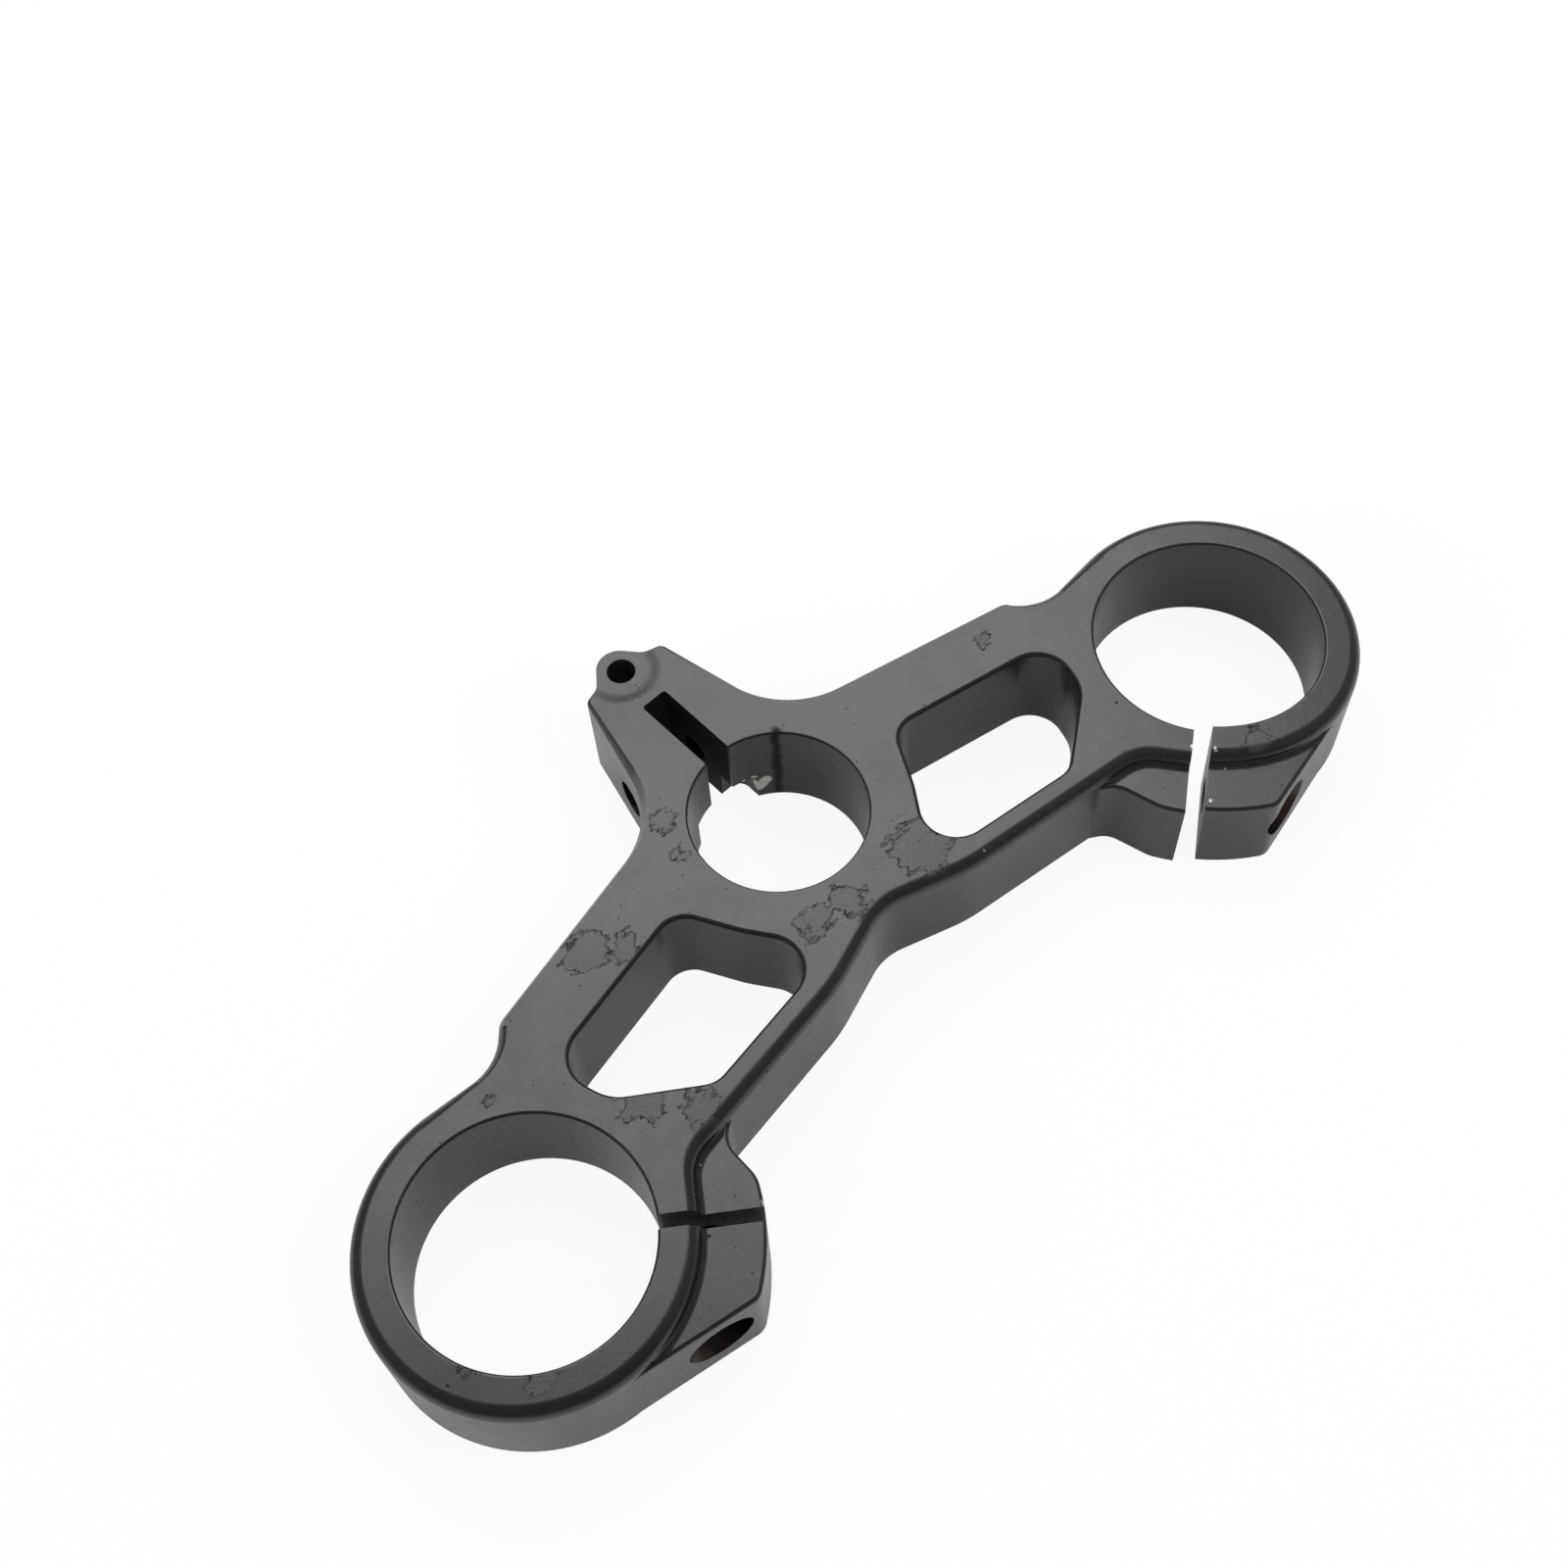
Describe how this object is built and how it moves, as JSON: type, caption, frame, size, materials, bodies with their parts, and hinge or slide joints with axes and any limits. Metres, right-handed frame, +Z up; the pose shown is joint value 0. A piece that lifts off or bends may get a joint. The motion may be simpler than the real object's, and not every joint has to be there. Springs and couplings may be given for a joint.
{
  "type": "motorcycle triple clamp",
  "caption": "Flat cast aluminium fork clamp plate with two split rings for fork tubes, a split stem bore, side windows, pinch bolt ears and a rear lug with a hole",
  "frame": {"origin": "axis of the steering stem bore on the plane of the flat underside", "axes": "+X across the forks toward the side of the sprung pinch arm, -Y to the front where the fork bores stand, +Z up along the stem bore"},
  "size_m": [0.2768, 0.1354, 0.026],
  "materials": {
    "coated_casting": "satin dark charcoal coat on cast aluminium, worn and blistered in places"
  },
  "bodies": {
    "root": {"triple_clamp": "coated_casting"}
  },
  "joints": []
}
